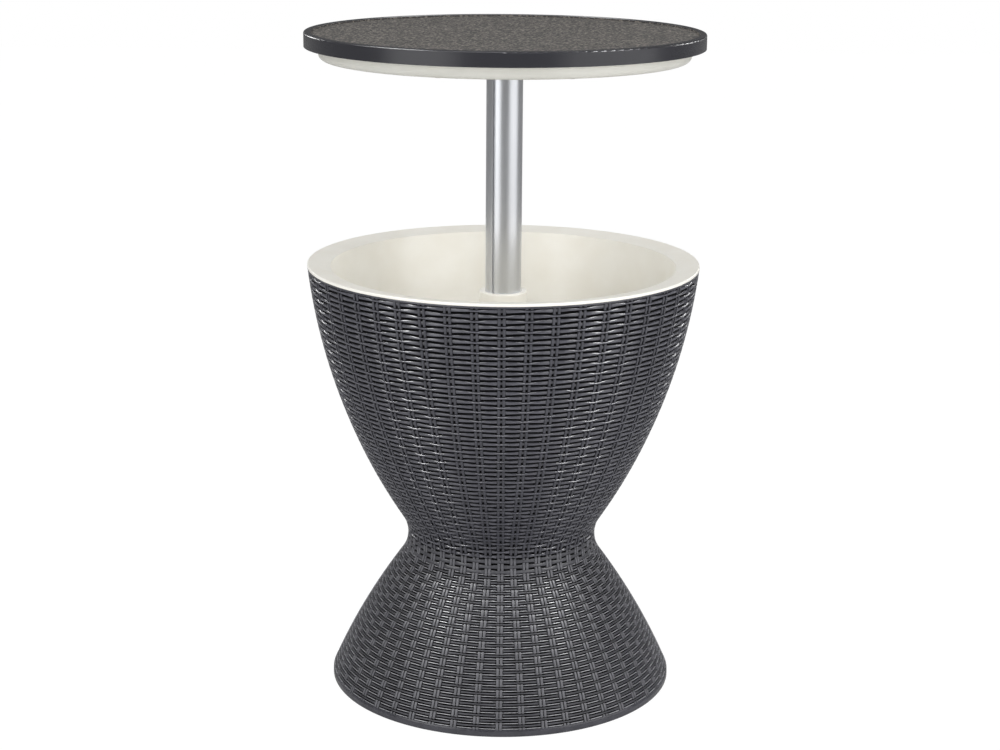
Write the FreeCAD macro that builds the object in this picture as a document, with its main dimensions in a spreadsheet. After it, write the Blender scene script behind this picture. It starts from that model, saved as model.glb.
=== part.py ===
import FreeCAD, Part
import Sketcher
import math
import os

# Cooler table with a lid that lifts on a central pole.
# Millimetres, +Z up, origin at the centre of the base on the floor.
# The front faces -Y, and the lid is modelled raised, resting on the pole's end stop.

# Driving sizes. Each is written once, and everything else is worked out from them.
SIZES = [
    # table top
    ("top_radius", 247.5),
    ("top_height", 840),
    ("band_height", 18),
    ("band_wall", 3),
    ("band_rounding", 2),
    ("rim_width", 9.5),
    ("rim_slope_width", 1.2),
    ("field_depth", 2.4),
    ("plate_thickness", 3),
    ("top_rib_thickness", 2.2),
    ("top_rib_depth", 9),
    ("top_rib_start", 44),
    ("top_rib_count", 16),
    # cream dish under the table top
    ("dish_inset", 17.5),
    ("dish_depth", 16),
    ("dish_corner", 8),
    ("dish_wall", 2.5),
    ("dish_bead_height", 4),
    ("dish_bead_width", 1.4),
    ("dish_flange_recess", 0.4),
    ("dish_flange_gap", 0.6),
    # screws of the lid
    ("lid_screw_inset", 30),
    ("lid_screw_count", 8),
    ("socket_screw_circle", 33),
    ("socket_screw_count", 3),
    ("socket_screw_angle", -50),
    ("lid_boss_radius", 5),
    # pole, an extruded tube with a guide groove and three screw ports
    ("pole_radius", 22.75),
    ("pole_wall", 2),
    ("pole_insertion", 20),
    ("pole_below_collar", 84),
    ("groove_width", 4),
    ("groove_depth", 2),
    ("groove_angle", 57),
    ("port_circle", 17.5),
    ("port_radius", 3.4),
    ("port_bore", 1.6),
    ("port_count", 3),
    ("socket_wall", 2.7),
    ("socket_plate", 3),
    ("socket_flange_radius", 40),
    # stop at the lower end of the pole
    ("stop_height", 12),
    ("stop_spigot_length", 20),
    ("stop_spigot_radius", 13.5),
    ("stop_spigot_wall", 3),
    ("stop_gap", 0.6),
    # collar, turning bush and chimney
    ("collar_radius", 30.2),
    ("collar_height", 17),
    ("collar_lip", 7),
    ("collar_rounding", 1.5),
    ("collar_pole_gap", 0.65),
    ("collar_below_rim", 38),
    ("bush_wall", 2.07),
    ("bush_flange_width", 1.7),
    ("bush_flange_height", 3.6),
    ("key_width", 3.6),
    ("key_height", 1.6),
    ("key_length", 56),
    ("chimney_wall", 3.2),
    ("snap_groove_depth", 0.7),
    ("snap_groove_height", 2),
    ("snap_groove_offset", 2.5),
    # hourglass body
    ("shell_rim_radius", 247.5),
    ("shell_rim_height", 548.8),
    ("shell_wall", 3),
    ("bowl_arc_radius", 755),
    ("waist_radius", 122),
    ("waist_height", 192.2),
    ("waist_bend", 52.2),
    ("seam_height", 196),
    ("skirt_arc_radius", 832),
    ("foot_radius", 221.5),
    ("foot_height", 6),
    ("foot_lip_width", 7),
    ("gusset_count", 12),
    ("gusset_thickness", 2.5),
    ("gusset_start", 62),
    ("gusset_depth", 70),
    # inner liner, which holds the ice
    ("rim_height", 552),
    ("mouth_inset", 29.1),
    ("mouth_height", 547.6),
    ("liner_wall", 2.5),
    ("liner_floor_height", 262),
    ("liner_floor_corner", 22),
    ("chimney_foot_corner", 8),
    ("locating_step_depth", 5),
    ("lip_rounding", 1.4),
    ("liner_ring_radius", 46),
    ("liner_ring_depth", 8),
    # guide tube below the liner
    ("guide_wall", 3),
    ("guide_bottom_height", 150),
    ("guide_flange_thickness", 3),
    ("guide_foot_thickness", 4),
    ("guide_foot_radius", 48),
    ("guide_screw_circle", 38),
    ("guide_screw_count", 4),
    ("guide_boss_height", 12),
    ("base_screw_circle", 95),
    ("base_screw_count", 6),
    ("base_inner_screw_count", 3),
    ("base_boss_radius", 5.5),
    ("base_boss_height", 12),
    # screws
    ("screw_radius", 1.9),
    ("screw_head_radius", 4),
    ("screw_head_height", 2.6),
    ("screw_grip", 9),
    ("port_screw_radius", 1.5),
    ("port_screw_head_radius", 3.2),
    ("port_screw_head_height", 2.2),
    ("port_screw_grip", 12),
    ("screw_point", 0.5),
    ("screw_gap", 0.1),
    # drain at the back of the bowl
    ("drain_height", 277),
    ("drain_bore", 7.1),
    ("drain_tube_radius", 9),
    ("drain_flange_radius", 13),
    ("drain_flange_thickness", 3),
    ("drain_flange_gap", 0.5),
    ("drain_seal_thickness", 1.5),
    ("drain_seat_thickness", 8),
    ("drain_liner_boss_gap", 17.6),
    ("drain_liner_boss_radius", 16),
    ("drain_shell_boss_standoff", 10.4),
    ("drain_shell_boss_radius", 17),
    ("drain_nut_width", 27),
    ("drain_nut_thickness", 6),
    ("drain_tube_overhang", 2),
    ("plug_length", 22),
    ("plug_head_radius", 12),
    ("plug_head_thickness", 9),
    ("plug_grip_depth", 1.6),
    ("plug_grip_count", 8),
    # clearances
    ("running_gap", 0.08),
    ("loose_gap", 0.3),
    ("seat_gap", 0.1),
]

PIECES = []
LEFT = "left"
RIGHT = "right"
FULL_TURN = 360
NUT_SIDES = 6


class Size:
    """A length with the formula that binds it to the sheet."""

    def __init__(self, number, formula):
        self.number = number
        self.formula = formula

    def __add__(self, other):
        other = as_size(other)
        return Size(self.number + other.number, f"({self.formula} + {other.formula})")

    def __sub__(self, other):
        other = as_size(other)
        return Size(self.number - other.number, f"({self.formula} - {other.formula})")

    def __mul__(self, other):
        other = as_size(other)
        return Size(self.number * other.number, f"({self.formula} * {other.formula})")

    def __truediv__(self, other):
        other = as_size(other)
        return Size(self.number / other.number, f"({self.formula} / {other.formula})")

    def __neg__(self):
        return Size(-self.number, f"(0 - {self.formula})")


def as_size(value):
    if isinstance(value, Size):
        return value
    return Size(float(value), repr(float(value)))


def root_of(value):
    return Size(math.sqrt(value.number), f"sqrt({value.formula})")


def cosine(angle):
    return Size(math.cos(math.radians(angle.number)), f"cos({angle.formula})")


def sine(angle):
    return Size(math.sin(math.radians(angle.number)), f"sin({angle.formula})")


doc = FreeCAD.newDocument("cooler_table")
sheet = doc.addObject("Spreadsheet::Sheet", "sizes")
derived = doc.addObject("App::VarSet", "derived")


class Sizes:
    """The driving sizes by name, for example s.top_radius."""


s = Sizes()
for row, (size_name, size_value) in enumerate(SIZES, 1):
    sheet.set(f"A{row}", size_name)
    sheet.set(f"B{row}", str(size_value))
    sheet.setAlias(f"B{row}", size_name)
    setattr(s, size_name, Size(float(size_value), f"sizes.{size_name}"))
doc.recompute()


def keep(name, value):
    """Store a worked-out length under a name, so that later formulas stay short."""
    derived.addProperty("App::PropertyFloat", name)
    derived.setExpression(name, value.formula)
    return Size(value.number, f"derived.{name}")


def bind(target, path, value):
    value = as_size(value)
    target.setExpression(path, value.formula)


def new_body(label):
    body = doc.addObject("PartDesign::Body", label)
    body.Label = label
    PIECES.append(body)
    return body


def origin_part(body, role):
    return next(item for item in body.Origin.OriginFeatures if item.Role == role)


def new_sketch(body, name, role, lift=None):
    """A sketch on one of the body's origin planes, lifted along the plane's normal."""
    sketch = body.newObject("Sketcher::SketchObject", name)
    sketch.AttachmentSupport = (origin_part(body, role), [""])
    sketch.MapMode = "FlatFace"
    if lift is not None:
        sketch.AttachmentOffset = FreeCAD.Placement(FreeCAD.Vector(0, 0, lift.number), FreeCAD.Rotation())
        bind(sketch, "AttachmentOffset.Base.z", lift)
    return sketch


def pin(sketch, kind, axis, geometry, vertex, value):
    """Hold one coordinate of a vertex at a size measured from the sketch's origin."""
    value = as_size(value)
    if abs(value.number) < 1e-9:
        sketch.addConstraint(Sketcher.Constraint("PointOnObject", geometry, vertex, axis))
        return
    ends = (-1, 1, geometry, vertex) if value.number > 0 else (geometry, vertex, -1, 1)
    length = value if value.number > 0 else -value
    index = sketch.addConstraint(Sketcher.Constraint(kind, *ends, length.number))
    bind(sketch, f"Constraints[{index}]", length)


def pin_vertex(sketch, geometry, vertex, x, y):
    pin(sketch, "DistanceX", -2, geometry, vertex, x)
    pin(sketch, "DistanceY", -1, geometry, vertex, y)


def add_arc(sketch, start, end, side, radius):
    """A stretch under a half circle, with its centre left or right of the way it runs."""
    chord = end - start
    middle = (start + end) * 0.5
    rise = math.sqrt(radius.number ** 2 - (chord.Length / 2) ** 2)
    normal = FreeCAD.Vector(-chord.y, chord.x, 0).normalize()
    centre = middle + normal * (rise if side == LEFT else -rise)
    first, last = (start, end) if side == LEFT else (end, start)
    begin = math.atan2(first.y - centre.y, first.x - centre.x)
    finish = math.atan2(last.y - centre.y, last.x - centre.x)
    circle = Part.Circle(centre, FreeCAD.Vector(0, 0, 1), radius.number)
    index = sketch.addGeometry(Part.ArcOfCircle(circle, begin, finish))
    constraint = sketch.addConstraint(Sketcher.Constraint("Radius", index, radius.number))
    bind(sketch, f"Constraints[{constraint}]", radius)
    return index, (1, 2) if side == LEFT else (2, 1)


def add_outline(sketch, path):
    """A closed outline. An entry is (x, y), or (x, y, side, radius) where an arc leaves it."""
    path = [tuple(as_size(v) if not isinstance(v, str) else v for v in entry) for entry in path]
    spots = [FreeCAD.Vector(entry[0].number, entry[1].number, 0) for entry in path]
    edges = []
    for index, entry in enumerate(path):
        start = spots[index]
        end = spots[(index + 1) % len(path)]
        if len(entry) == 4:
            edges.append(add_arc(sketch, start, end, entry[2], entry[3]))
        else:
            edges.append((sketch.addGeometry(Part.LineSegment(start, end)), (1, 2)))
    for index, (geometry, ends) in enumerate(edges):
        other, other_ends = edges[(index + 1) % len(edges)]
        sketch.addConstraint(Sketcher.Constraint("Coincident", geometry, ends[1], other, other_ends[0]))
        pin_vertex(sketch, geometry, ends[0], path[index][0], path[index][1])


def add_axis(sketch, x, low, high):
    """A construction line to turn a screw about."""
    start = FreeCAD.Vector(x.number, low.number, 0)
    end = FreeCAD.Vector(x.number, high.number, 0)
    index = sketch.addGeometry(Part.LineSegment(start, end), True)
    pin_vertex(sketch, index, 1, x, low)
    pin_vertex(sketch, index, 2, x, high)


def add_circle(sketch, x, y, radius):
    centre = FreeCAD.Vector(as_size(x).number, as_size(y).number, 0)
    circle = Part.Circle(centre, FreeCAD.Vector(0, 0, 1), radius.number)
    index = sketch.addGeometry(circle)
    constraint = sketch.addConstraint(Sketcher.Constraint("Radius", index, radius.number))
    bind(sketch, f"Constraints[{constraint}]", radius)
    pin_vertex(sketch, index, 3, x, y)


def turned(body, name, path, cut=False, axis=None):
    """Revolve an outline of (radius, height) entries about the vertical axis, or one beside it."""
    sketch = new_sketch(body, f"{name}_outline", "XZ_Plane")
    add_outline(sketch, path)
    if axis is not None:
        add_axis(sketch, axis, path[0][1], path[-1][1])
    feature = body.newObject("PartDesign::Groove" if cut else "PartDesign::Revolution", name)
    feature.Profile = sketch
    feature.ReferenceAxis = (sketch, ["V_Axis" if axis is None else "Axis0"])
    feature.Angle = FULL_TURN
    return feature


def raised(body, name, sketch, length, reverse=False, middle=False, cut=False):
    """Pad or pocket a sketch by a length."""
    feature = body.newObject("PartDesign::Pocket" if cut else "PartDesign::Pad", name)
    feature.Profile = sketch
    feature.Type = "Length"
    feature.Length = length.number
    feature.Reversed = reverse
    feature.Midplane = middle
    bind(feature, "Length", length)
    return feature


def around(body, name, features, count):
    """Repeat features evenly round the vertical axis."""
    pattern = body.newObject("PartDesign::PolarPattern", name)
    pattern.Originals = features
    pattern.Axis = (origin_part(body, "Z_Axis"), [""])
    pattern.Angle = FULL_TURN
    pattern.Occurrences = int(count.number)
    bind(pattern, "Occurrences", count)
    body.Tip = pattern
    return pattern


def disc(body, name, x, y, radius, low, high, cut=False):
    """A vertical post or bore between two heights."""
    sketch = new_sketch(body, f"{name}_circle", "XY_Plane", low)
    add_circle(sketch, x, y, radius)
    return raised(body, name, sketch, high - low, cut=cut, reverse=cut)


def drain_disc(body, name, radius, near, far, cut=False):
    """A post or bore along the drain's axis, which runs level towards the back."""
    sketch = new_sketch(body, f"{name}_circle", "XZ_Plane", -near)
    add_circle(sketch, 0, s.drain_height, radius)
    return raised(body, name, sketch, far - near, cut=cut, reverse=not cut)


def tangent_arc(name, end_r, end_z, radius, centre_r, centre_z, bend, side):
    """Centre and tangent point of an arc from an end point to the waist's bend."""
    dr = keep(f"{name}_dr", centre_r - end_r)
    dz = keep(f"{name}_dz", centre_z - end_z)
    span = keep(f"{name}_span", root_of(dr * dr + dz * dz))
    reach = radius + bend
    along = keep(f"{name}_along", (radius * radius - reach * reach + span * span) / (span * 2))
    across = keep(f"{name}_across", root_of(radius * radius - along * along))
    out_r = dz / span * across * side
    out_z = dr / span * across * side
    arc_r = keep(f"{name}_centre_r", end_r + along * dr / span + out_r)
    arc_z = keep(f"{name}_centre_z", end_z + along * dz / span - out_z)
    return arc_r, arc_z


def toward(centre_r, centre_z, target_r, target_z, distance, full):
    """The point at a distance from a centre on the way to a target at the full distance."""
    share = distance / full
    return centre_r + (target_r - centre_r) * share, centre_z + (target_z - centre_z) * share


def arc_radius_at(centre_r, centre_z, radius, height):
    """How far from the axis an arc lies at a height."""
    rise = height - centre_z
    return centre_r + root_of(radius * radius - rise * rise)


def spot(circle, angle):
    """Where the first of a ring of screws stands."""
    return circle * cosine(angle), circle * sine(angle)


# Heights and radii that several pieces share.
band_bottom = keep("band_bottom", s.top_height - s.band_height)
dish_radius = keep("dish_radius", s.top_radius - s.dish_inset)
lid_screw_circle = keep("lid_screw_circle", dish_radius - s.lid_screw_inset)
dish_bottom = keep("dish_bottom", band_bottom - s.dish_depth)
dish_inside = keep("dish_inside", dish_bottom + s.dish_wall)
plate_bottom = keep("plate_bottom", s.top_height - s.field_depth - s.plate_thickness)
socket_flange_top = keep("socket_flange_top", dish_inside + s.socket_plate)
collar_top = keep("collar_top", s.rim_height - s.collar_below_rim)
collar_bottom = keep("collar_bottom", collar_top - s.collar_height)
bush_top = keep("bush_top", collar_top - s.collar_lip - s.loose_gap)
bush_flange_bottom = keep("bush_flange_bottom", bush_top - s.bush_flange_height)
chimney_top = keep("chimney_top", bush_flange_bottom - s.seat_gap)
bush_bottom = keep("bush_bottom", collar_top - s.pole_below_collar + s.loose_gap)
stop_top = keep("stop_top", bush_bottom - s.loose_gap)
stop_bottom = keep("stop_bottom", stop_top - s.stop_height)
pole_top = keep("pole_top", dish_bottom + s.pole_insertion)
socket_top = keep("socket_top", pole_top + s.socket_plate)
pole_bore = keep("pole_bore", s.pole_radius - s.pole_wall)
bush_bore = keep("bush_bore", s.pole_radius + s.running_gap)
bush_radius = keep("bush_radius", bush_bore + s.bush_wall)
bush_flange_radius = keep("bush_flange_radius", bush_radius + s.bush_flange_width)
guide_bore = keep("guide_bore", bush_radius + s.loose_gap)
guide_radius = keep("guide_radius", guide_bore + s.guide_wall)
guide_hole = keep("guide_hole", guide_radius + s.loose_gap)
chimney_radius = keep("chimney_radius", guide_bore + s.chimney_wall)
snap_low = keep("snap_low", collar_bottom + s.snap_groove_offset)
snap_high = keep("snap_high", snap_low + s.snap_groove_height)
ring_bottom = keep("ring_bottom", s.liner_floor_height - s.liner_wall - s.liner_ring_depth)
guide_flange_bottom = keep("guide_flange_bottom", ring_bottom - s.guide_flange_thickness)
shell_floor = keep("shell_floor", s.seam_height + s.shell_wall)
plate_low = keep("plate_low", s.seam_height - s.shell_wall)
screw_hole = keep("screw_hole", s.screw_radius + s.screw_gap)
port_screw_hole = keep("port_screw_hole", s.port_screw_radius + s.screw_gap)
lid_screw_angle = keep("lid_screw_angle", as_size(FULL_TURN / 2) / s.lid_screw_count)
base_screw_angle = keep("base_screw_angle", as_size(FULL_TURN / 2) / s.gusset_count)
waist_centre = keep("waist_centre", s.waist_radius + s.waist_bend)

bowl_r, bowl_z = tangent_arc(
    "bowl_arc", s.shell_rim_radius, s.shell_rim_height, s.bowl_arc_radius,
    waist_centre, s.waist_height, s.waist_bend, 1)
skirt_r, skirt_z = tangent_arc(
    "skirt_arc", s.foot_radius, s.foot_height, s.skirt_arc_radius,
    waist_centre, s.waist_height, s.waist_bend, -1)

# The liner's wall follows the bowl's arc from the mouth down to its floor.
mouth_radius = keep("mouth_radius", s.shell_rim_radius - s.mouth_inset)
mouth_r = mouth_radius - bowl_r
mouth_z = s.mouth_height - bowl_z
liner_arc = keep("liner_arc", root_of(mouth_r * mouth_r + mouth_z * mouth_z))
corner_z = keep("corner_z", s.liner_floor_height + s.liner_floor_corner)
corner_r = keep("corner_r", arc_radius_at(bowl_r, bowl_z, liner_arc - s.liner_floor_corner, corner_z))

# The drain's bosses reach in and out from the bowl's outer face at the drain's height.
drain_wall = keep("drain_wall", arc_radius_at(bowl_r, bowl_z, s.bowl_arc_radius, s.drain_height))
drain_shell_boss = keep("drain_shell_boss", drain_wall + s.drain_shell_boss_standoff)
drain_liner_boss = keep("drain_liner_boss", drain_wall - s.drain_liner_boss_gap)
drain_seat = keep("drain_seat", drain_liner_boss - s.drain_seat_thickness)
drain_seal_face = keep("drain_seal_face", drain_seat - s.drain_seal_thickness)
drain_tube_end = keep("drain_tube_end", drain_shell_boss + s.drain_nut_thickness + s.drain_tube_overhang)


def bowl_tangent(inset):
    """Where the bowl's arc, moved inwards by an inset, meets the waist's bend."""
    return toward(bowl_r, bowl_z, waist_centre, s.waist_height,
                  s.bowl_arc_radius - inset, s.bowl_arc_radius + s.waist_bend)


def skirt_tangent(inset):
    """Where the skirt's arc, moved inwards by an inset, meets the waist's bend."""
    return toward(skirt_r, skirt_z, waist_centre, s.waist_height,
                  s.skirt_arc_radius - inset, s.skirt_arc_radius + s.waist_bend)


def liner_tangent(wall):
    """Where the liner's wall, on its inner face or a wall outside it, meets the floor's corner."""
    return toward(bowl_r, bowl_z, corner_r, corner_z,
                  liner_arc + wall, liner_arc - s.liner_floor_corner)


def bend_radius_at(inset, height):
    """How far from the axis the waist's hollow bend, moved inwards, lies at a height."""
    radius = s.waist_bend + inset
    rise = height - s.waist_height
    return waist_centre - root_of(radius * radius - rise * rise)


def turn_with_groove(body):
    """Turn a piece drawn with the pole's groove towards -X to where the groove really is."""
    turn_body(body, s.groove_angle)


def turn_body(body, angle):
    body.Placement = FreeCAD.Placement(
        FreeCAD.Vector(0, 0, 0), FreeCAD.Rotation(FreeCAD.Vector(0, 0, 1), angle.number))
    bind(body, "Placement.Rotation.Angle", angle)


def make_table_top():
    """Dark moulded disc: raised rim round a recessed field, deep band, ribs and bosses below."""
    body = new_body("table_top")
    field = s.top_height - s.field_depth
    field_radius = s.top_radius - s.rim_width
    turned(body, "top_disc", [
        (0, plate_bottom),
        (s.top_radius - s.band_wall, plate_bottom),
        (s.top_radius - s.band_wall, band_bottom),
        (s.top_radius, band_bottom),
        (s.top_radius, s.top_height - s.band_rounding, LEFT, s.band_rounding),
        (s.top_radius - s.band_rounding, s.top_height),
        (field_radius + s.rim_slope_width, s.top_height),
        (field_radius, field),
        (0, field),
    ])
    inside_plate = plate_bottom + s.plate_thickness / 2
    rib_end = s.top_radius - s.band_wall / 2
    rib_low = band_bottom + s.dish_flange_recess + s.dish_wall + s.loose_gap
    rib_sketch = new_sketch(body, "rib_outline", "XZ_Plane")
    add_outline(rib_sketch, [
        (s.top_rib_start, plate_bottom - s.top_rib_depth),
        (dish_radius, rib_low),
        (rib_end, rib_low),
        (rib_end, inside_plate),
        (s.top_rib_start, inside_plate),
    ])
    rib = raised(body, "rib", rib_sketch, s.top_rib_thickness, middle=True)
    around(body, "ribs", [rib], s.top_rib_count)
    x, y = spot(lid_screw_circle, lid_screw_angle)
    post = disc(body, "lid_boss", x, y, s.lid_boss_radius, dish_inside, inside_plate)
    bore = disc(body, "lid_boss_bore", x, y, screw_hole, dish_inside, dish_inside + s.screw_grip, cut=True)
    around(body, "lid_bosses", [post, bore], s.lid_screw_count)
    x, y = spot(s.socket_screw_circle, s.socket_screw_angle)
    post = disc(body, "socket_boss", x, y, s.lid_boss_radius, socket_flange_top, inside_plate)
    bore = disc(body, "socket_boss_bore", x, y, screw_hole, socket_flange_top,
                socket_flange_top + s.screw_grip, cut=True)
    around(body, "socket_bosses", [post, bore], s.socket_screw_count)


def make_lid_underside():
    """Cream dish that hides the ribs and centres the closed lid on the sloping rim."""
    body = new_body("lid_underside")
    flange_low = band_bottom + s.dish_flange_recess
    flange_radius = s.top_radius - s.band_wall - s.dish_flange_gap
    bead_radius = dish_radius + s.dish_bead_width
    bead_low = band_bottom - s.dish_bead_height
    inner = dish_radius - s.dish_wall
    hole = s.pole_radius + s.loose_gap
    turned(body, "dish", [
        (hole, dish_bottom),
        (dish_radius - s.dish_corner, dish_bottom, LEFT, s.dish_corner),
        (dish_radius, dish_bottom + s.dish_corner),
        (dish_radius, bead_low),
        (bead_radius, bead_low + s.dish_bead_width),
        (bead_radius, flange_low),
        (flange_radius, flange_low),
        (flange_radius, flange_low + s.dish_wall),
        (inner, flange_low + s.dish_wall),
        (inner, dish_bottom + s.dish_corner, RIGHT, s.dish_corner - s.dish_wall),
        (dish_radius - s.dish_corner, dish_inside),
        (hole, dish_inside),
    ])
    x, y = spot(lid_screw_circle, lid_screw_angle)
    hole = disc(body, "lid_screw_hole", x, y, screw_hole, dish_bottom, dish_inside, cut=True)
    around(body, "lid_screw_holes", [hole], s.lid_screw_count)
    x, y = spot(s.socket_screw_circle, s.socket_screw_angle)
    hole = disc(body, "socket_screw_hole", x, y, screw_hole, dish_bottom, dish_inside, cut=True)
    around(body, "socket_screw_holes", [hole], s.socket_screw_count)


def make_pole_socket():
    """Cup that holds the upper end of the pole, with a flange screwed through the dish."""
    body = new_body("pole_socket")
    bore = s.pole_radius + s.seat_gap
    turned(body, "socket", [
        (bore, dish_inside),
        (s.socket_flange_radius, dish_inside),
        (s.socket_flange_radius, socket_flange_top),
        (bore + s.socket_wall, socket_flange_top),
        (bore + s.socket_wall, socket_top),
        (0, socket_top),
        (0, pole_top),
        (bore, pole_top),
    ])
    x, y = spot(s.socket_screw_circle, s.socket_screw_angle)
    hole = disc(body, "flange_hole", x, y, screw_hole, dish_inside, socket_flange_top, cut=True)
    around(body, "flange_holes", [hole], s.socket_screw_count)
    x, y = spot(s.port_circle, s.groove_angle)
    hole = disc(body, "port_hole", x, y, port_screw_hole, pole_top, socket_top, cut=True)
    around(body, "port_holes", [hole], s.port_count)


def make_pole():
    """Aluminium extrusion: round tube, guide groove backed by a rib, screw ports inside."""
    body = new_body("pole")
    length = pole_top - stop_top
    turned(body, "tube", [
        (pole_bore, stop_top),
        (s.pole_radius, stop_top),
        (s.pole_radius, pole_top),
        (pole_bore, pole_top),
    ])
    rib_in = pole_bore - s.groove_depth
    rib_out = s.pole_radius - s.pole_wall / 2
    half_rib = s.groove_width / 2 + s.pole_wall
    rib = new_sketch(body, "groove_rib_outline", "XY_Plane", stop_top)
    add_outline(rib, [
        (-rib_out, -half_rib),
        (-rib_in, -half_rib),
        (-rib_in, half_rib),
        (-rib_out, half_rib),
    ])
    raised(body, "groove_rib", rib, length)
    groove_floor = s.pole_radius - s.groove_depth
    groove = new_sketch(body, "groove_outline", "XY_Plane", stop_top)
    add_outline(groove, [
        (-(s.pole_radius + s.pole_wall), -(s.groove_width / 2)),
        (-groove_floor, -(s.groove_width / 2)),
        (-groove_floor, s.groove_width / 2),
        (-(s.pole_radius + s.pole_wall), s.groove_width / 2),
    ])
    raised(body, "groove", groove, length, cut=True, reverse=True)
    port = disc(body, "port", s.port_circle, 0, s.port_radius, stop_top, pole_top)
    bore = disc(body, "port_bore", s.port_circle, 0, s.port_bore, stop_top, pole_top, cut=True)
    around(body, "ports", [port, bore], s.port_count)
    turn_with_groove(body)


def make_pole_end_stop():
    """Plug in the pole's lower end, whose flange meets the bush when the lid is raised."""
    body = new_body("pole_end_stop")
    flange = guide_bore - s.stop_gap
    bevel = s.stop_spigot_wall / 2
    turned(body, "stop", [
        (s.stop_spigot_radius - s.stop_spigot_wall, stop_bottom),
        (flange - bevel, stop_bottom),
        (flange, stop_bottom + bevel),
        (flange, stop_top),
        (s.stop_spigot_radius, stop_top),
        (s.stop_spigot_radius, stop_top + s.stop_spigot_length),
        (s.stop_spigot_radius - s.stop_spigot_wall, stop_top + s.stop_spigot_length),
    ])
    x, y = spot(s.port_circle, s.groove_angle)
    hole = disc(body, "stop_hole", x, y, port_screw_hole, stop_bottom, stop_top, cut=True)
    around(body, "stop_holes", [hole], s.port_count)


def make_turning_bush():
    """Bush that turns in the chimney with the pole, keyed to the pole's groove."""
    body = new_body("turning_bush")
    turned(body, "bush", [
        (bush_bore, bush_bottom),
        (bush_radius, bush_bottom),
        (bush_radius, bush_flange_bottom),
        (bush_flange_radius, bush_flange_bottom),
        (bush_flange_radius, bush_top),
        (bush_bore, bush_top),
    ])
    key_in = bush_bore - s.key_height
    key_out = bush_bore + s.bush_wall / 2
    key = new_sketch(body, "key_outline", "XY_Plane", bush_bottom)
    add_outline(key, [
        (-key_out, -(s.key_width / 2)),
        (-key_in, -(s.key_width / 2)),
        (-key_in, s.key_width / 2),
        (-key_out, s.key_width / 2),
    ])
    raised(body, "key", key, s.key_length)
    turn_with_groove(body)


def make_guide_collar():
    """Cream collar snapped over the chimney, which keeps the bush down."""
    body = new_body("guide_collar")
    lip_low = bush_top + s.loose_gap
    bore = s.pole_radius + s.collar_pole_gap
    bevel = s.collar_rounding / 2
    recess = bush_flange_radius + s.loose_gap
    skirt = chimney_radius + s.seat_gap
    bead = skirt - s.snap_groove_depth
    turned(body, "collar", [
        (bore, lip_low),
        (recess, lip_low),
        (recess, chimney_top),
        (skirt, chimney_top),
        (skirt, snap_high - s.seat_gap),
        (bead, snap_high - s.seat_gap),
        (bead, snap_low + s.seat_gap),
        (skirt, snap_low + s.seat_gap),
        (skirt, collar_bottom),
        (s.collar_radius, collar_bottom),
        (s.collar_radius, collar_top - s.collar_rounding, LEFT, s.collar_rounding),
        (s.collar_radius - s.collar_rounding, collar_top),
        (bore + bevel, collar_top),
        (bore, collar_top - bevel),
    ])


def make_inner_liner():
    """Cream liner: sloping rim, wall that follows the bowl, floor, and chimney for the pole."""
    body = new_body("inner_liner")
    below = s.liner_floor_height - s.liner_wall
    outer_t = liner_tangent(s.liner_wall)
    inner_t = liner_tangent(as_size(0))
    neck_z = s.mouth_height - s.liner_wall
    slope = keep("rim_slope", (s.rim_height - s.mouth_height)
                 / (s.shell_rim_radius - s.lip_rounding - mouth_radius))
    step_z = s.shell_rim_height - s.locating_step_depth
    step_r = keep("step_r", arc_radius_at(bowl_r, bowl_z, s.bowl_arc_radius - s.shell_wall, step_z)
                  - s.loose_gap)
    step_in = step_r - s.liner_wall
    above = s.mouth_height + s.liner_wall
    turned(body, "liner_form", [
        (0, ring_bottom),
        (s.liner_ring_radius, ring_bottom),
        (s.liner_ring_radius, below),
        (corner_r, below, LEFT, s.liner_floor_corner + s.liner_wall),
        (outer_t[0], outer_t[1], LEFT, liner_arc + s.liner_wall),
        (arc_radius_at(bowl_r, bowl_z, liner_arc + s.liner_wall, neck_z), neck_z),
        (step_in, neck_z + slope * (step_in - mouth_radius)),
        (step_in, step_z),
        (step_r, step_z),
        (step_r, s.shell_rim_height),
        (s.shell_rim_radius, s.shell_rim_height),
        (s.shell_rim_radius, s.rim_height - s.lip_rounding, LEFT, s.lip_rounding),
        (s.shell_rim_radius - s.lip_rounding, s.rim_height),
        (mouth_radius, s.mouth_height),
        (0, s.mouth_height),
    ])
    drain_disc(body, "drain_boss", s.drain_liner_boss_radius, s.liner_ring_radius, drain_liner_boss)
    turned(body, "ice_space", [
        (0, chimney_top),
        (chimney_radius, chimney_top),
        (chimney_radius, snap_high),
        (chimney_radius - s.snap_groove_depth, snap_high),
        (chimney_radius - s.snap_groove_depth, snap_low),
        (chimney_radius, snap_low),
        (chimney_radius, s.liner_floor_height + s.chimney_foot_corner, LEFT, s.chimney_foot_corner),
        (chimney_radius + s.chimney_foot_corner, s.liner_floor_height),
        (corner_r, s.liner_floor_height, LEFT, s.liner_floor_corner),
        (inner_t[0], inner_t[1], LEFT, liner_arc),
        (mouth_radius, s.mouth_height),
        (mouth_radius, above),
        (0, above),
    ], cut=True)
    drain_disc(body, "drain_pocket", s.drain_flange_radius + s.drain_flange_gap, s.liner_ring_radius,
               drain_seat, cut=True)
    drain_disc(body, "drain_hole", s.drain_tube_radius + s.seat_gap, s.liner_ring_radius, drain_liner_boss,
               cut=True)
    disc(body, "chimney_bore", 0, 0, guide_bore, ring_bottom, chimney_top, cut=True)
    hole = disc(body, "tube_screw_hole", s.guide_screw_circle, 0, screw_hole, ring_bottom,
                guide_flange_bottom + s.screw_grip + s.loose_gap, cut=True)
    around(body, "tube_screw_holes", [hole], s.guide_screw_count)


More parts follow.
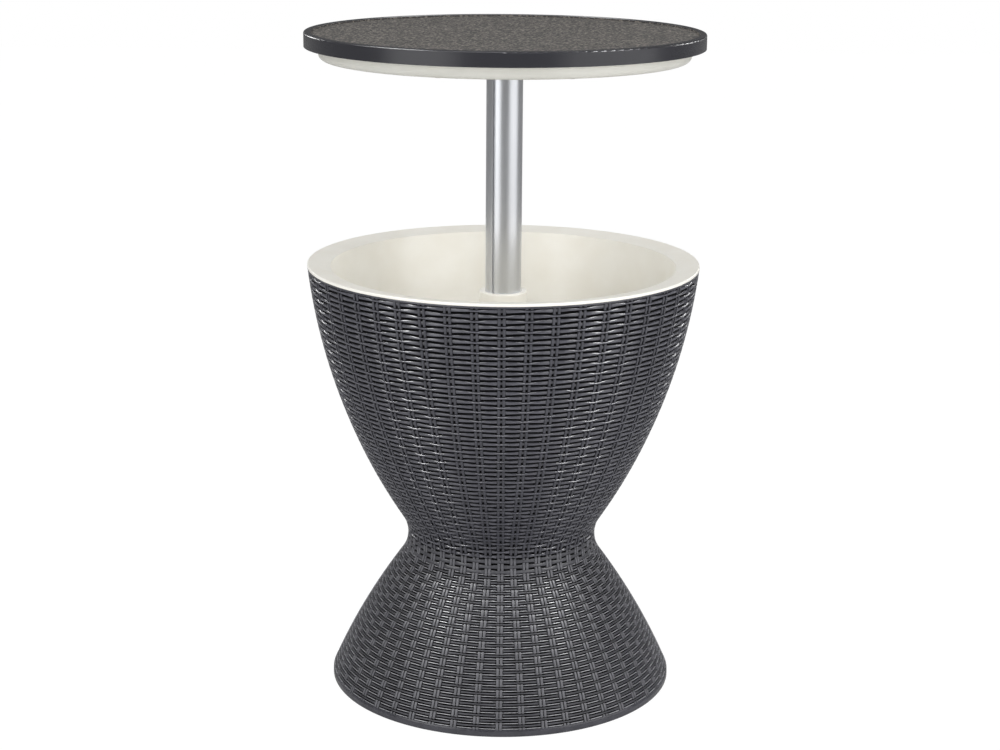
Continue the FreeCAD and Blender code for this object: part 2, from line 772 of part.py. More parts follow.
def make_guide_tube():
    """Tube below the liner that takes the lowered pole and ties liner, shell and base together."""
    body = new_body("guide_tube")
    foot_top = shell_floor + s.guide_foot_thickness
    turned(body, "tube", [
        (guide_bore, s.guide_bottom_height),
        (guide_radius, s.guide_bottom_height),
        (guide_radius, shell_floor),
        (s.guide_foot_radius, shell_floor),
        (s.guide_foot_radius, foot_top),
        (guide_radius, foot_top),
        (guide_radius, guide_flange_bottom),
        (s.liner_ring_radius, guide_flange_bottom),
        (s.liner_ring_radius, ring_bottom),
        (guide_bore, ring_bottom),
    ])
    hole = disc(body, "flange_hole", s.guide_screw_circle, 0, screw_hole, guide_flange_bottom, ring_bottom,
                cut=True)
    around(body, "flange_holes", [hole], s.guide_screw_count)
    x, y = spot(s.guide_screw_circle, base_screw_angle)
    post = disc(body, "foot_boss", x, y, s.base_boss_radius, shell_floor, shell_floor + s.guide_boss_height)
    bore = disc(body, "foot_boss_bore", x, y, screw_hole, shell_floor, shell_floor + s.screw_grip, cut=True)
    around(body, "foot_bosses", [post, bore], s.base_inner_screw_count)


def make_bowl_shell():
    """Outer casing of the bowl, from the seam at the waist up to the rim."""
    body = new_body("bowl_shell")
    outer_t = bowl_tangent(as_size(0))
    inner_t = bowl_tangent(s.shell_wall)
    turned(body, "bowl_form", [
        (0, s.seam_height),
        (bend_radius_at(as_size(0), s.seam_height), s.seam_height, RIGHT, s.waist_bend),
        (outer_t[0], outer_t[1], LEFT, s.bowl_arc_radius),
        (s.shell_rim_radius, s.shell_rim_height),
        (0, s.shell_rim_height),
    ])
    drain_disc(body, "drain_boss", s.drain_shell_boss_radius, s.waist_radius, drain_shell_boss)
    inner_radius = s.bowl_arc_radius - s.shell_wall
    above = s.shell_rim_height + s.shell_wall
    turned(body, "bowl_hollow", [
        (0, shell_floor),
        (bend_radius_at(s.shell_wall, shell_floor), shell_floor, RIGHT, s.waist_bend + s.shell_wall),
        (inner_t[0], inner_t[1], LEFT, inner_radius),
        (arc_radius_at(bowl_r, bowl_z, inner_radius, above), above),
        (0, above),
    ], cut=True)
    disc(body, "tube_hole", 0, 0, guide_hole, s.seam_height, shell_floor, cut=True)
    drain_disc(body, "drain_hole", s.drain_tube_radius + s.seat_gap, s.waist_radius, drain_shell_boss,
               cut=True)
    x, y = spot(s.base_screw_circle, base_screw_angle)
    post = disc(body, "base_boss", x, y, s.base_boss_radius, s.seam_height,
                shell_floor + s.base_boss_height)
    bore = disc(body, "base_boss_bore", x, y, screw_hole, s.seam_height,
                shell_floor + s.screw_grip, cut=True)
    around(body, "base_bosses", [post, bore], s.base_screw_count)
    x, y = spot(s.guide_screw_circle, base_screw_angle)
    hole = disc(body, "tube_screw_hole", x, y, screw_hole, s.seam_height, shell_floor, cut=True)
    around(body, "tube_screw_holes", [hole], s.base_inner_screw_count)


def make_base_skirt():
    """Flared foot, with a plate under the bowl, gussets inside and a lip round the foot."""
    body = new_body("base_skirt")
    outer_t = skirt_tangent(as_size(0))
    inner_t = skirt_tangent(s.shell_wall)
    inner_radius = s.skirt_arc_radius - s.shell_wall
    lip_in = s.foot_radius - s.foot_lip_width
    turned(body, "skirt_form", [
        (guide_hole, s.seam_height),
        (guide_hole, plate_low),
        (bend_radius_at(s.shell_wall, plate_low), plate_low, LEFT, s.waist_bend + s.shell_wall),
        (inner_t[0], inner_t[1], RIGHT, inner_radius),
        (arc_radius_at(skirt_r, skirt_z, inner_radius, s.foot_height), s.foot_height),
        (lip_in + s.shell_wall, s.shell_wall),
        (lip_in, s.shell_wall),
        (lip_in, 0),
        (s.foot_radius, 0),
        (s.foot_radius, s.foot_height, LEFT, s.skirt_arc_radius),
        (outer_t[0], outer_t[1], RIGHT, s.waist_bend),
        (bend_radius_at(as_size(0), s.seam_height), s.seam_height),
    ])
    half_wall = s.shell_wall / 2
    middle_t = skirt_tangent(half_wall)
    low = plate_low - s.gusset_depth
    inside_plate = s.seam_height - half_wall
    gusset = new_sketch(body, "gusset_outline", "XZ_Plane")
    add_outline(gusset, [
        (s.gusset_start, inside_plate),
        (s.gusset_start, plate_low),
        (arc_radius_at(skirt_r, skirt_z, s.skirt_arc_radius - half_wall, low), low,
         LEFT, s.skirt_arc_radius - half_wall),
        (middle_t[0], middle_t[1], RIGHT, s.waist_bend + half_wall),
        (bend_radius_at(half_wall, inside_plate), inside_plate),
    ])
    web = raised(body, "gusset", gusset, s.gusset_thickness, middle=True)
    around(body, "gussets", [web], s.gusset_count)
    x, y = spot(s.base_screw_circle, base_screw_angle)
    hole = disc(body, "base_screw_hole", x, y, screw_hole, plate_low, s.seam_height, cut=True)
    around(body, "base_screw_holes", [hole], s.base_screw_count)
    x, y = spot(s.guide_screw_circle, base_screw_angle)
    hole = disc(body, "tube_screw_hole", x, y, screw_hole, plate_low, s.seam_height, cut=True)
    around(body, "tube_screw_holes", [hole], s.base_inner_screw_count)


def add_screws(body, name, circle, count, seat, grip, radius, head_radius, head_height):
    """A ring of upright screws. The head lies below its seat for a positive grip, else above."""
    head = head_height if grip.number > 0 else -head_height
    point = s.screw_point if grip.number > 0 else -s.screw_point
    path = [
        (circle, seat - head),
        (circle + head_radius, seat - head),
        (circle + head_radius, seat),
        (circle + radius, seat),
        (circle + radius, seat + grip - point),
        (circle + radius / 2, seat + grip),
        (circle, seat + grip),
    ]
    screw = turned(body, name, path, axis=circle)
    around(body, f"{name}_ring", [screw], count)


def make_screws():
    """The fasteners, one node for each group of alike screws."""
    grip = s.screw_grip + s.dish_wall - s.loose_gap
    plain = (s.screw_radius, s.screw_head_radius, s.screw_head_height)
    port = (s.port_screw_radius, s.port_screw_head_radius, s.port_screw_head_height)

    body = new_body("lid_screws")
    add_screws(body, "lid_screw", lid_screw_circle, s.lid_screw_count, dish_bottom, grip, *plain)
    turn_body(body, lid_screw_angle)

    body = new_body("socket_screws")
    add_screws(body, "socket_screw", s.socket_screw_circle, s.socket_screw_count, dish_bottom,
               grip + s.socket_plate, *plain)
    turn_body(body, s.socket_screw_angle)

    body = new_body("pole_top_screws")
    add_screws(body, "pole_top_screw", s.port_circle, s.port_count, socket_top,
               -(s.port_screw_grip + s.socket_plate), *port)
    turn_with_groove(body)

    body = new_body("end_stop_screws")
    add_screws(body, "end_stop_screw", s.port_circle, s.port_count, stop_bottom,
               s.port_screw_grip + s.stop_height, *port)
    turn_with_groove(body)

    body = new_body("guide_tube_screws")
    add_screws(body, "guide_tube_screw", s.guide_screw_circle, s.guide_screw_count, guide_flange_bottom,
               s.screw_grip, *plain)

    body = new_body("base_screws")
    base_grip = s.screw_grip + s.shell_wall * 2 - s.loose_gap
    add_screws(body, "inner_screw", s.guide_screw_circle, s.base_inner_screw_count, plate_low,
               base_grip, *plain)
    add_screws(body, "outer_screw", s.base_screw_circle, s.base_screw_count, plate_low,
               base_grip, *plain)
    turn_body(body, base_screw_angle)


def lay_on_drain_axis(body):
    """Turn a piece drawn upright so that its axis runs level to the back at the drain's height."""
    level = FreeCAD.Rotation(FreeCAD.Vector(1, 0, 0), -FULL_TURN / 4)
    body.Placement = FreeCAD.Placement(FreeCAD.Vector(0, 0, s.drain_height.number), level)
    bind(body, "Placement.Base.z", s.drain_height)


def make_drain():
    """Spigot through liner and shell at the back, with its seal, its nut and a pull-out plug."""
    hole = s.drain_tube_radius + s.seat_gap
    flange_face = drain_seal_face - s.drain_flange_thickness

    body = new_body("drain_spigot")
    turned(body, "spigot", [
        (s.drain_bore, flange_face),
        (s.drain_flange_radius, flange_face),
        (s.drain_flange_radius, drain_seal_face),
        (s.drain_tube_radius, drain_seal_face),
        (s.drain_tube_radius, drain_tube_end),
        (s.drain_bore, drain_tube_end),
    ])
    lay_on_drain_axis(body)

    body = new_body("drain_seal")
    turned(body, "seal", [
        (hole, drain_seal_face),
        (s.drain_flange_radius, drain_seal_face),
        (s.drain_flange_radius, drain_seat),
        (hole, drain_seat),
    ])
    lay_on_drain_axis(body)

    body = new_body("drain_nut")
    sketch = new_sketch(body, "nut_outline", "XY_Plane", drain_shell_boss)
    half = s.drain_nut_width / 2
    corner = keep("nut_corner", half / cosine(as_size(FULL_TURN / 2 / NUT_SIDES)))
    add_outline(sketch, [
        (corner, 0),
        (corner / 2, half),
        (-(corner / 2), half),
        (-corner, 0),
        (-(corner / 2), -half),
        (corner / 2, -half),
    ])
    raised(body, "nut", sketch, s.drain_nut_thickness)
    nut_end = drain_shell_boss + s.drain_nut_thickness
    disc(body, "nut_bore", 0, 0, hole, drain_shell_boss, nut_end, cut=True)
    lay_on_drain_axis(body)

    body = new_body("drain_plug")
    head_face = drain_tube_end + s.loose_gap
    head_end = head_face + s.plug_head_thickness
    shank = s.drain_bore - s.loose_gap
    bevel = s.plug_grip_depth
    turned(body, "plug", [
        (0, head_face - s.plug_length),
        (shank - bevel / 2, head_face - s.plug_length),
        (shank, head_face - s.plug_length + bevel),
        (shank, head_face),
        (s.plug_head_radius, head_face),
        (s.plug_head_radius, head_end - bevel),
        (s.plug_head_radius - bevel, head_end),
        (0, head_end),
    ])
    grip = disc(body, "plug_grip", s.plug_head_radius + s.plug_grip_depth, 0, s.plug_grip_depth * 2,
                head_face, head_end, cut=True)
    around(body, "plug_grips", [grip], s.plug_grip_count)
    lay_on_drain_axis(body)


def check_and_export():
    """Every object must be sound before any file is written."""
    doc.recompute()
    faults = [item.Name for item in doc.Objects if {"Invalid", "Error"} & set(item.State)]
    for body in PIECES:
        if body.Shape.isNull() or not body.Shape.isValid():
            faults.append(body.Label)
    if faults:
        raise RuntimeError("failed objects: " + ", ".join(faults))
    os.makedirs("parts", exist_ok=True)
    for body in PIECES:
        body.Shape.exportStep(f"parts/{body.Label}.step")
        print(body.Label, "solids", len(body.Shape.Solids), "volume", round(body.Shape.Volume))


make_table_top()
make_lid_underside()
make_pole_socket()
make_pole()
make_pole_end_stop()
make_turning_bush()
make_guide_collar()
make_inner_liner()
make_guide_tube()
make_bowl_shell()
make_base_skirt()
make_screws()
make_drain()
check_and_export()
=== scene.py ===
import math

import bpy
import numpy as np
from mathutils import Matrix, Vector


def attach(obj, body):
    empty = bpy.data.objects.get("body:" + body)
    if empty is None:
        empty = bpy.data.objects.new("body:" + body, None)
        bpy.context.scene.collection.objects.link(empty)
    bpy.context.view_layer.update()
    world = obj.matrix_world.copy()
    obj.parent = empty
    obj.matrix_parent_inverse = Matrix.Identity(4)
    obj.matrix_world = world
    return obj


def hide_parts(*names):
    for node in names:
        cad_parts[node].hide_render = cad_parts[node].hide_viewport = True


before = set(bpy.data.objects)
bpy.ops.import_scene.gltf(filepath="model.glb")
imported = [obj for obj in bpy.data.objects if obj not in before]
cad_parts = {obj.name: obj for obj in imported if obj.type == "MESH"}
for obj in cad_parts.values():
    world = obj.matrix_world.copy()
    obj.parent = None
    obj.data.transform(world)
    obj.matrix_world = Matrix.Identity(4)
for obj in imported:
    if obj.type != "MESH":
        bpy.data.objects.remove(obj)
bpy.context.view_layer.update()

# Looks of the cooler table: the woven relief of both shells, the materials, the light and the camera.
# The weave's sizes are in millimetres, and its depths run from the outermost surface inwards.
# Sizes in the materials, of the lamps, of the floor and of the camera's place are in metres.

MM = 0.001

# The profile of the hourglass body, from the rim down to the floor.
RIM = (247.5, 548.8)
FOOT = (221.5, 6.0)
BOWL_ARC = 755.0
SKIRT_ARC = 832.0
WAIST_BEND = 52.2
WAIST = (122.0 + WAIST_BEND, 192.2)
SEAM_HEIGHT = 196.0
PROFILE_STEP = 0.25

# Below the skirt's arc the normal turns level within this height, and the ring runs straight down.
FOOT_TURN = 0.5

# The weave. Its lengths run down the profile from the rim, and its angles round the body.
STAKES = 48
STAKE_PITCH = 2 * math.pi / STAKES
FIRST_STAKE = math.radians(-0.4)
ROW_PITCH = 6.6
FIRST_ROW = 6.1
WAIST_END = 399.0
FOOT_BAND_START = 591.2
EDGE_BAND_END = 3.0

# Depth of the weave's floor, and of the strands' roots a little below it.
WEAVE_DEPTH = 2.6
ROOT_DEPTH = WEAVE_DEPTH + 0.3

# Uneven strands: how far each station strays along the profile, and how much its width varies.
SEED = 11
STRAND_DRIFT = 0.09
STRAND_WIDTH_SPREAD = 0.04

# Room between the last rows or stakes and what they end at.
SEAM_GAP = 0.3
ROW_MARGIN = 1.5
FILLER_MARGIN = ROW_PITCH / 2 + 0.5
BAND_OVERLAP = 0.6
STAKE_END_MARGIN = 1.0
STAKE_END_CROWN = 0.3

# Distance of a stake's two ribs from its middle, and the width of each.
BOWL_RIBS = (3.0, 3.5)
SKIRT_RIBS = (2.2, 3.7)

# Painted shade of the faces that aren't part of a strand or rib, from 0 for a crown to 1 for the
# floor. On the edge band it stands for the shadow under the rim's lip, and it also darkens the foot
# band.
INNER_FACE_PAINTED_SHADE = 0.4
BAND_PAINTED_SHADE = 0.32

# Painted shade that a crown gains per millimetre that it lies below the outermost surface, which
# darkens strands and ribs where they dip under one another.
STRAND_PAINTED_SHADE_PER_MM = 0.12
RIB_PAINTED_SHADE_PER_MM = 0.5

# A shell's vertex belongs to its woven face when it lies this near the profile.
FACE_TOLERANCE = 0.4
BAND_SEGMENTS = 288
SHARP_ANGLE = math.radians(40)


def arc_centre(end, radius, side):
    """Centre of the arc that starts at an end point and runs smoothly into the waist's bend."""
    to_waist = np.subtract(WAIST, end)
    span = np.hypot(*to_waist)
    along = (radius ** 2 - (radius + WAIST_BEND) ** 2 + span ** 2) / (2 * span)
    across = math.sqrt(radius ** 2 - along ** 2)
    ahead = to_waist / span
    return np.add(end, along * ahead + side * across * np.array([-ahead[1], ahead[0]]))


def arc_run(centre, radius, start, end, outward):
    """Points and outward normals along one arc, in steps of PROFILE_STEP."""
    count = max(2, round(radius * abs(end - start) / PROFILE_STEP))
    angles = np.linspace(start, end, count)
    spoke = np.stack([np.cos(angles), np.sin(angles)], axis=1)
    return np.hstack([centre + radius * spoke, outward * spoke])


def angle_from(centre, point):
    return math.atan2(point[1] - centre[1], point[0] - centre[0])


def body_profile():
    """Rows of length along the profile, radius, height and the normal's two parts."""
    bowl = arc_centre(RIM, BOWL_ARC, -1)
    skirt = arc_centre(FOOT, SKIRT_ARC, 1)
    full = 2 * math.pi
    runs = [
        arc_run(bowl, BOWL_ARC, angle_from(bowl, RIM), angle_from(bowl, WAIST), 1),
        arc_run(np.array(WAIST), WAIST_BEND, angle_from(WAIST, bowl) % full,
                angle_from(WAIST, skirt) % full, -1),
        arc_run(skirt, SKIRT_ARC, angle_from(skirt, WAIST), angle_from(skirt, FOOT), 1),
        np.array([[FOOT[0], FOOT[1] - FOOT_TURN, 1, 0], [FOOT[0], 0, 1, 0]]),
    ]
    points = np.vstack(runs)
    steps = np.hypot(*np.diff(points[:, :2], axis=0).T)
    lengths = np.concatenate([[0], np.cumsum(steps)])
    return np.column_stack([lengths, points])


PROFILE = body_profile()
FLOOR_LENGTH = PROFILE[-1, 0]
SEAM_LENGTH = float(np.interp(-SEAM_HEIGHT, -PROFILE[:, 2], PROFILE[:, 0]))


def radius_at(length):
    return np.interp(length, PROFILE[:, 0], PROFILE[:, 1])


def on_body(length, depth, angle):
    """Points in metres. Angles run from the front, which faces -Y, towards +X."""
    radius, height, out, up = (np.interp(length, PROFILE[:, 0], PROFILE[:, i]) for i in range(1, 5))
    radius = radius - depth * out
    height = height - depth * up
    axes = np.broadcast_arrays(radius * np.sin(angle), -radius * np.cos(angle), height)
    return np.stack(axes, axis=-1) * MM


def mark_painted_shade(mesh, share):
    """Store each vertex's painted shade, from 0 on a crown to 1 on the weave's floor."""
    layer = mesh.attributes.new("weave_painted_shade", "FLOAT", "POINT")
    layer.data.foreach_set("value", np.ascontiguousarray(share, dtype=np.float32).ravel())


def add_piece(name, vertices, faces, share, body):
    """A smooth-shaded mesh piece that rides on a body."""
    mesh = bpy.data.meshes.new(name)
    mesh.from_pydata(vertices, [], faces)
    mark_painted_shade(mesh, share)
    mesh.shade_smooth()
    mesh.set_sharp_from_angle(angle=SHARP_ANGLE)
    piece = bpy.data.objects.new(name, mesh)
    bpy.context.scene.collection.objects.link(piece)
    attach(piece, body)
    return piece


def tube_faces(shape, closed, start):
    """Faces of tubes whose corners are numbered by tube, station and corner."""
    number = np.arange(np.prod(shape)).reshape(shape) + start
    here = number if closed else number[:, :-1]
    there = np.roll(number, -1, axis=1) if closed else number[:, 1:]
    quads = np.stack([here, there, np.roll(there, -1, axis=2), np.roll(here, -1, axis=2)], axis=-1)
    faces = quads.reshape(-1, 4).tolist()
    if not closed:
        faces += number[:, 0].tolist()
        faces += number[:, -1, ::-1].tolist()
    return faces


def add_tubes(name, groups, closed, body):
    """One piece from pairs of points, of shape (tube, station, corner, 3), and their shares."""
    vertices = []
    faces = []
    shares = []
    for points, share in groups:
        faces += tube_faces(points.shape[:3], closed, len(vertices))
        vertices += points.reshape(-1, 3).tolist()
        shares.append(np.broadcast_to(share, points.shape[:3]).ravel())
    return add_piece(name, vertices, faces, np.concatenate(shares), body)


def add_band(name, outline, body):
    """A closed ring round the body."""
    length, depth = np.array(outline).T
    angle = np.linspace(0, 2 * math.pi, BAND_SEGMENTS, endpoint=False)[:, None]
    points = on_body(length[None, :], depth[None, :], angle)
    return add_tubes(name, [(points[None], BAND_PAINTED_SHADE)], True, body)


# Outer side of a section: share of the width, and share of the way from crown to root, which is also
# its share of painted shade down the flanks.
STRAND_SECTION = np.array([(-0.5, 1), (-0.47, 0.3), (-0.26, 0.03), (0.3, 0.0), (0.46, 0.25), (0.5, 1)])
RIB_SECTION = np.array([(-0.5, 1), (-0.42, 0.16), (0, 0), (0.42, 0.16), (0.5, 1)])

# Stations of a strand round one stake: distance from the stake, depth of the crown, width.
# The middle lies halfway to the next stake, with its depth and width.
BOWL_OVER = [(-5.6, 0.25, 3.0), (-2.2, 0.0, 2.4), (2.2, 0.0, 2.4), (5.6, 0.25, 3.0)]
BOWL_UNDER = [(-5.8, 0.45, 4.6), (-4.4, 1.6, 4.3), (4.4, 1.6, 4.3), (5.8, 0.45, 4.6)]
BOWL_MIDDLE = (0.3, 3.9)
WAIST_OVER = [(-5.2, 0.25, 4.2), (-2.2, 0.0, 3.8), (2.2, 0.0, 3.8), (5.2, 0.25, 4.2)]
WAIST_UNDER = [(-5.4, 0.45, 5.0), (-4.2, 1.0, 4.8), (4.2, 1.0, 4.8), (5.4, 0.45, 5.0)]
WAIST_MIDDLE = (0.3, 4.6)
SKIRT_OVER = [(-4.8, 0.20, 2.2), (-2.2, 0.0, 1.8), (2.2, 0.0, 1.8), (4.8, 0.20, 2.2)]
SKIRT_UNDER = [(-5.6, 0.40, 3.0), (-4.2, 1.8, 2.8), (4.2, 1.8, 2.8), (5.6, 0.40, 3.0)]
SKIRT_MIDDLE = (0.25, 2.5)

# Stations of a filler round one stake: distance from the stake, depth of the crown.
FILLER_UNDER = [(-5.9, 0.1), (-5.0, 2.3), (5.0, 2.3), (5.9, 0.1)]
FILLER_WIDTH = 1.2

# Stations of a rib where a strand passes over it: distance from the strand, depth of the crown.
BOWL_DIPS = [(-2.9, 0.12), (-2.2, 0.3), (-1.7, 1.6), (1.7, 1.6), (2.2, 0.3), (2.9, 0.12), (6.6, 0.05)]
SKIRT_DIPS = [(-2.5, 0.05), (-2.1, 0.2), (-1.7, 1.7), (1.7, 1.7), (2.1, 0.2), (2.5, 0.05), (6.6, 0.0)]

# Outlines of the two bands: length along the profile, depth.
EDGE_BAND = [(0, 2.4), (0, 0.3), (0.4, 0.05), (2.4, 0.05), (EDGE_BAND_END, 0.7), (EDGE_BAND_END, 2.4)]
FOOT_BAND = [
    (FOOT_BAND_START, 2.4),
    (FOOT_BAND_START, 0.5),
    (FOOT_BAND_START + 0.4, 0.02),
    (FOOT_BAND_START + 1.1, 0.02),
    (FOOT_BAND_START + 1.5, 0.6),
    (FOOT_BAND_START + 2.1, 0.6),
    (FOOT_BAND_START + 2.6, 0.02),
    (FLOOR_LENGTH - 0.4, 0.02),
    (FLOOR_LENGTH, 0.3),
    (FLOOR_LENGTH, 2.4),
]


def rows_between(start, end):
    """The numbers and lengths of the rows between two lengths."""
    number = np.arange(math.ceil((start - FIRST_ROW) / ROW_PITCH), (end - FIRST_ROW) / ROW_PITCH)
    return number, FIRST_ROW + ROW_PITCH * number


def strand_rows(start, end, over, under, middle, noise):
    """Strands that circle the body, over one stake and under the next."""
    number, rows = rows_between(start, end)
    station_angle = np.zeros((len(rows), STAKES, len(over) + 1))
    crown = np.zeros_like(station_angle)
    width = np.zeros_like(station_angle)
    radius = radius_at(rows)[:, None]
    for stake in range(STAKES):
        centre = FIRST_STAKE + stake * STAKE_PITCH
        passes_over = (number + stake) % 2 == 1
        for place in range(len(over)):
            offset = np.where(passes_over, over[place][0], under[place][0])
            station_angle[:, stake, place] = centre + offset / radius[:, 0]
            crown[:, stake, place] = np.where(passes_over, over[place][1], under[place][1])
            width[:, stake, place] = np.where(passes_over, over[place][2], under[place][2])
        station_angle[:, stake, -1] = centre + STAKE_PITCH / 2
        crown[:, stake, -1] = middle[0]
        width[:, stake, -1] = middle[1]
    flat = (len(rows), -1)
    station_angle, crown, width = (values.reshape(flat) for values in (station_angle, crown, width))
    drift = noise.normal(0, STRAND_DRIFT, crown.shape)
    width = width * (1 + noise.normal(0, STRAND_WIDTH_SPREAD, crown.shape))
    across, fall = STRAND_SECTION.T
    length = (rows[:, None] + drift)[..., None] + width[..., None] * across
    depth = crown[..., None] + fall * (ROOT_DEPTH - crown[..., None])
    # The second result is painted shade: darker down the flanks and where a strand dips under a stake.
    return on_body(length, depth, station_angle[..., None]), fall + STRAND_PAINTED_SHADE_PER_MM * crown[..., None]


def filler_rows(start, end):
    """Thin lower strands between the rows of the skirt, which run under every stake."""
    rows = rows_between(start, end)[1] + ROW_PITCH / 2
    radius = radius_at(rows)[:, None, None]
    centre = (FIRST_STAKE + np.arange(STAKES) * STAKE_PITCH)[None, :, None]
    offset, crown_at = np.array(FILLER_UNDER).T
    station_angle = (centre + offset / radius).reshape(len(rows), -1)
    crown = np.tile(crown_at, (len(rows), STAKES))
    across, fall = STRAND_SECTION.T
    length = rows[:, None, None] + FILLER_WIDTH * across
    depth = crown[..., None] + fall * (ROOT_DEPTH - crown[..., None])
    # The second result is painted shade, darker down the filler's flanks.
    return on_body(np.broadcast_to(length, depth.shape), depth, station_angle[..., None]), fall


def stake_ribs(start, end, rib, dips):
    """Pairs of upright ribs, which dip where a strand passes over them."""
    groups = []
    for parity in (0, 1):
        crossing = FIRST_ROW + ROW_PITCH * (1 - parity) - 2 * ROW_PITCH
        stations = [(start, STAKE_END_CROWN)]
        while crossing < end + ROW_PITCH:
            for step, crown in dips:
                if start + STAKE_END_MARGIN < crossing + step < end - STAKE_END_MARGIN:
                    stations.append((crossing + step, crown))
            crossing += 2 * ROW_PITCH
        stations.append((end, STAKE_END_CROWN))
        along, crown = np.array(stations).T
        stakes = np.arange(parity, STAKES, 2)
        centre = FIRST_STAKE + stakes * STAKE_PITCH
        across, fall = RIB_SECTION.T
        depth = crown[:, None] + fall * (ROOT_DEPTH - crown[:, None])
        radius = radius_at(along)[None, :, None]
        for side in (-1, 1):
            offset = side * rib[0] + rib[1] * across
            angle = centre[:, None, None] + offset / radius
            points = on_body(along[None, :, None], depth[None], angle)
            # The share is painted shade, darker down the flanks and where a rib dips under a strand.
            groups.append((points, fall + RIB_PAINTED_SHADE_PER_MM * crown[:, None]))
    return groups


def sunk_wall(name, node):
    """A copy of a shell's mesh whose woven face is sunk to the floor of the weave."""
    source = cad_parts[node]
    mesh = source.data.copy()
    mesh.name = name
    count = len(mesh.vertices)
    points = np.empty(count * 3)
    mesh.vertices.foreach_get("co", points)
    points = points.reshape(-1, 3) / MM
    radius = np.hypot(points[:, 0], points[:, 1])
    height = points[:, 2]
    # The sunk face takes the full painted shadow of the weave, and the shell's other faces a fixed
    # share of painted shade.
    share = np.full(count, INNER_FACE_PAINTED_SHADE)
    for i in range(count):
        gap = np.hypot(PROFILE[:, 1] - radius[i], PROFILE[:, 2] - height[i])
        nearest = int(np.argmin(gap))
        if gap[nearest] > FACE_TOLERANCE:
            continue
        share[i] = 1
        out, up = PROFILE[nearest, 3:]
        points[i, :2] *= 1 - WEAVE_DEPTH * out / radius[i]
        points[i, 2] -= WEAVE_DEPTH * up
    mesh.vertices.foreach_set("co", (points * MM).ravel())
    mesh.update()
    mark_painted_shade(mesh, share)
    piece = bpy.data.objects.new(name, mesh)
    bpy.context.scene.collection.objects.link(piece)
    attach(piece, "body")
    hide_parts(node)
    return piece


def build_weave():
    """The woven outside of both shells."""
    noise = np.random.default_rng(SEED)
    bowl_end = SEAM_LENGTH - SEAM_GAP
    skirt_start = SEAM_LENGTH + SEAM_GAP
    bowl_rows = strand_rows(0, bowl_end - ROW_MARGIN, BOWL_OVER, BOWL_UNDER, BOWL_MIDDLE, noise)
    waist_rows = strand_rows(skirt_start + ROW_MARGIN, WAIST_END, WAIST_OVER, WAIST_UNDER,
                             WAIST_MIDDLE, noise)
    skirt_rows = strand_rows(WAIST_END, FOOT_BAND_START - ROW_MARGIN, SKIRT_OVER, SKIRT_UNDER,
                             SKIRT_MIDDLE, noise)
    fillers = filler_rows(WAIST_END - ROW_PITCH, FOOT_BAND_START - FILLER_MARGIN)
    bowl_stakes = stake_ribs(EDGE_BAND_END - BAND_OVERLAP, bowl_end, BOWL_RIBS, BOWL_DIPS)
    skirt_stakes = stake_ribs(skirt_start, FOOT_BAND_START + SEAM_GAP, SKIRT_RIBS, SKIRT_DIPS)
    # Each shade: the crowns' darker and paler colour, least and greatest roughness, and gloss.
    shades = {
        # The weave's floor is a darker copy of the plastic, painted shade for the gaps and inner
        # faces.
        "wall": woven("woven_floor_painted_shade", (60, 59, 62), (74, 73, 76), 0.5, 0.6, 0.1),
        "strand": woven("woven_strands", (70, 70, 77), (86, 86, 94), 0.18, 0.28, 0.75),
        "bowl_rib": woven("woven_bowl_ribs", (66, 66, 72), (80, 80, 87), 0.3, 0.4, 0.4),
        # The skirt's ribs are a paler copy of the ribs' plastic, painted light for their upward-facing
        # blocks.
        "skirt_rib": woven("woven_skirt_ribs_painted_light", (90, 90, 95), (106, 106, 111), 0.3, 0.4, 0.35),
        "skirt_strand": woven("woven_skirt_strands", (66, 66, 71), (80, 80, 85), 0.35, 0.45, 0.3),
        # The fillers are a much paler copy of the strands' plastic, a painted highlight for the light
        # they reflect.
        "filler": woven("woven_fillers_painted_highlight", (142, 142, 147), (166, 166, 171), 0.24, 0.34, 0.75),
    }
    pieces = {
        "wall": [sunk_wall("bowl_wall", "bowl_shell"), sunk_wall("skirt_wall", "base_skirt")],
        "strand": [
            add_band("bowl_edge_band", EDGE_BAND, "body"),
            add_band("skirt_foot_band", FOOT_BAND, "body"),
            add_tubes("bowl_strands", [bowl_rows], True, "body"),
        ],
        "bowl_rib": [add_tubes("bowl_stakes", bowl_stakes, False, "body")],
        "skirt_rib": [add_tubes("skirt_stakes", skirt_stakes, False, "body")],
        "skirt_strand": [
            add_tubes("waist_strands", [waist_rows], True, "body"),
            add_tubes("skirt_strands", [skirt_rows], True, "body"),
        ],
        "filler": [add_tubes("skirt_fillers", [fillers], True, "body")],
    }
    for shade, group in pieces.items():
        for piece in group:
            paint(piece, shades[shade])


